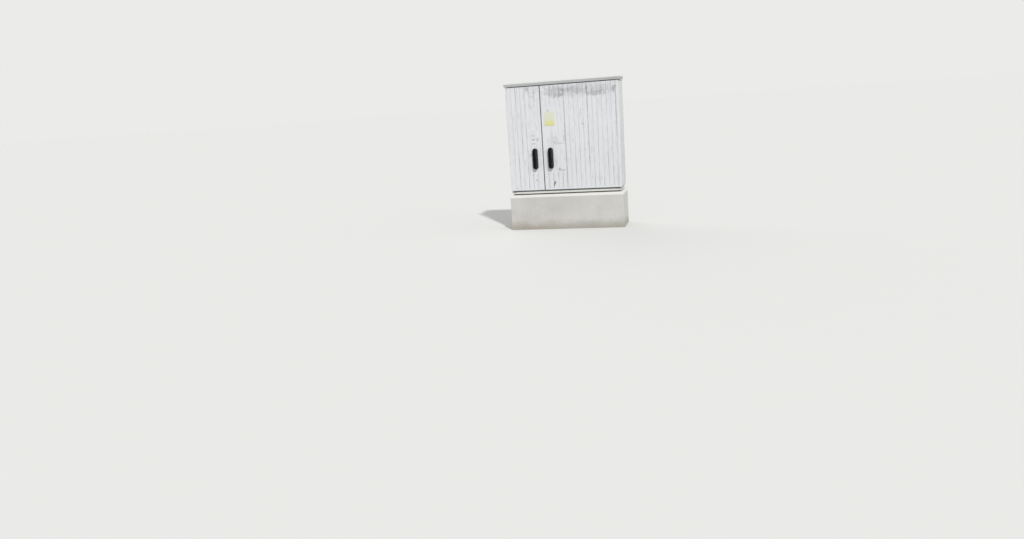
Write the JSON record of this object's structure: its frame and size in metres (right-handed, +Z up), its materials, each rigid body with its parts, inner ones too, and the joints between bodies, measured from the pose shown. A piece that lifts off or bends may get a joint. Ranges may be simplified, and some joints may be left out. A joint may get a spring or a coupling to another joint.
{
  "type": "roadside utility cabinet",
  "caption": "Free-standing fluted roadside utility cabinet on a concrete plinth, with a narrow and a wide door, swing handles and rod locks.",
  "frame": {"origin": "on the ground, under the middle of the whole object's box", "axes": "+Z up, -Y towards the doors, +X to the right of someone facing the doors"},
  "size_m": [1.14, 0.361, 1.45],
  "materials": {
    "grp": "weathered fluted moulded polyester, satin",
    "concrete": "fair-faced grey concrete",
    "frame_grp": "moulded polyester, satin",
    "zinc": "zinc plated",
    "black_handle": "black moulded polyamide",
    "blackened": "blackened metal, satin",
    "nylon": "natural nylon",
    "epdm": "black cellular rubber",
    "copper": "bare copper",
    "insulator": "red-brown moulded insulator",
    "strip": "dark grey moulded plastic",
    "link_ceramic": "unglazed steatite",
    "switch_body": "light grey device housing",
    "toggle": "black moulded toggle",
    "terminal": "grey terminal housing"
  },
  "bodies": {
    "cabinet": {"concrete_plinth": "concrete", "plinth_sockets": "zinc", "base_bolts": "zinc", "base_frame": "frame_grp", "top_frame": "frame_grp", "roof": "grp", "roof_screws": "zinc", "left_wall": "grp", "right_wall": "grp", "rear_wall": "grp", "centre_post": "frame_grp", "partition_wall": "frame_grp", "hinge_pins": "zinc", "hinge_brackets": "zinc", "mounting_rails": "zinc", "busbar_holders": "insulator", "busbars": "copper", "fuse_links": "link_ceramic", "neutral_bar": "copper", "cable_rail": "zinc", "cable_clamps": "nylon", "mounting_plate": "zinc", "din_rail": "zinc", "circuit_breaker": "switch_body", "terminal_blocks": "terminal", "fuse_rail_1": "strip", "fuse_rail_2": "strip", "fuse_rail_3": "strip", "fuse_rail_4": "strip", "left_seal": "epdm", "right_seal": "epdm"},
    "left_door_leaf": {"left_door": "grp", "left_hinge_bushes": "nylon", "left_handle_base": "black_handle", "left_handle_screws": "zinc", "left_lock_cylinder": "blackened", "left_lock_case": "zinc", "left_rod_guides": "nylon"},
    "left_spindle_set": {"left_spindle": "blackened", "left_pinion": "zinc", "left_lever_pin": "zinc"},
    "left_lever": {"left_handle_lever": "black_handle"},
    "left_rotor": {"left_key_rotor": "blackened"},
    "left_rod_up": {"left_upper_rod": "zinc"},
    "left_rod_down": {"left_lower_rod": "zinc"},
    "right_door_leaf": {"right_door": "grp", "right_hinge_bushes": "nylon", "right_handle_base": "black_handle", "right_handle_screws": "zinc", "right_lock_cylinder": "blackened", "right_lock_case": "zinc", "right_rod_guides": "nylon"},
    "right_spindle_set": {"right_spindle": "blackened", "right_pinion": "zinc", "right_lever_pin": "zinc"},
    "right_lever": {"right_handle_lever": "black_handle"},
    "right_rotor": {"right_key_rotor": "blackened"},
    "right_rod_up": {"right_upper_rod": "zinc"},
    "right_rod_down": {"right_lower_rod": "zinc"},
    "toggle": {"breaker_toggle": "toggle"}
  },
  "joints": [
    {"name": "left_door_hinge", "type": "hinge", "parent": "cabinet", "child": "left_door_leaf", "pos_m": [-0.5425, -0.13795, 0.9], "axis": [0, 0, -1], "range_deg": [0, 120]},
    {"name": "left_handle_turn", "type": "hinge", "parent": "left_door_leaf", "child": "left_spindle_set", "pos_m": [-0.2885, -0.15195, 0.784], "axis": [0, 1, 0], "range_deg": [0, 90]},
    {"name": "left_lever_fold", "type": "hinge", "parent": "left_spindle_set", "child": "left_lever", "pos_m": [-0.2885, -0.17255, 0.784], "axis": [-1, 0, 0], "range_deg": [0, 25]},
    {"name": "left_key_turn", "type": "hinge", "parent": "left_door_leaf", "child": "left_rotor", "pos_m": [-0.2885, -0.15195, 0.689], "axis": [0, 1, 0], "range_deg": [0, 90]},
    {"name": "left_upper_rod_slide", "type": "slide", "parent": "left_door_leaf", "child": "left_rod_up", "axis": [0, 0, 1], "range_m": [0, 0.0213]},
    {"name": "left_lower_rod_slide", "type": "slide", "parent": "left_door_leaf", "child": "left_rod_down", "axis": [0, 0, -1], "range_m": [0, 0.0213]},
    {"name": "right_door_hinge", "type": "hinge", "parent": "cabinet", "child": "right_door_leaf", "pos_m": [0.5425, -0.13795, 0.9], "axis": [0, 0, 1], "range_deg": [0, 120]},
    {"name": "right_handle_turn", "type": "hinge", "parent": "right_door_leaf", "child": "right_spindle_set", "pos_m": [-0.1325, -0.15195, 0.784], "axis": [0, -1, 0], "range_deg": [0, 90]},
    {"name": "right_lever_fold", "type": "hinge", "parent": "right_spindle_set", "child": "right_lever", "pos_m": [-0.1325, -0.17255, 0.784], "axis": [-1, 0, 0], "range_deg": [0, 25]},
    {"name": "right_key_turn", "type": "hinge", "parent": "right_door_leaf", "child": "right_rotor", "pos_m": [-0.1325, -0.15195, 0.689], "axis": [0, -1, 0], "range_deg": [0, 90]},
    {"name": "right_upper_rod_slide", "type": "slide", "parent": "right_door_leaf", "child": "right_rod_up", "axis": [0, 0, 1], "range_m": [0, 0.0213]},
    {"name": "right_lower_rod_slide", "type": "slide", "parent": "right_door_leaf", "child": "right_rod_down", "axis": [0, 0, -1], "range_m": [0, 0.0213]},
    {"name": "breaker_toggle_swing", "type": "hinge", "parent": "cabinet", "child": "toggle", "pos_m": [-0.458, 0.09005, 1.095], "axis": [-1, 0, 0], "range_deg": [0, 70]}
  ],
  "couplings": [
    {"joint": "left_upper_rod_slide", "follows": "left_handle_turn", "m_per_rad": 0.0135},
    {"joint": "left_lower_rod_slide", "follows": "left_handle_turn", "m_per_rad": 0.0135},
    {"joint": "right_upper_rod_slide", "follows": "right_handle_turn", "m_per_rad": 0.0135},
    {"joint": "right_lower_rod_slide", "follows": "right_handle_turn", "m_per_rad": 0.0135}
  ]
}
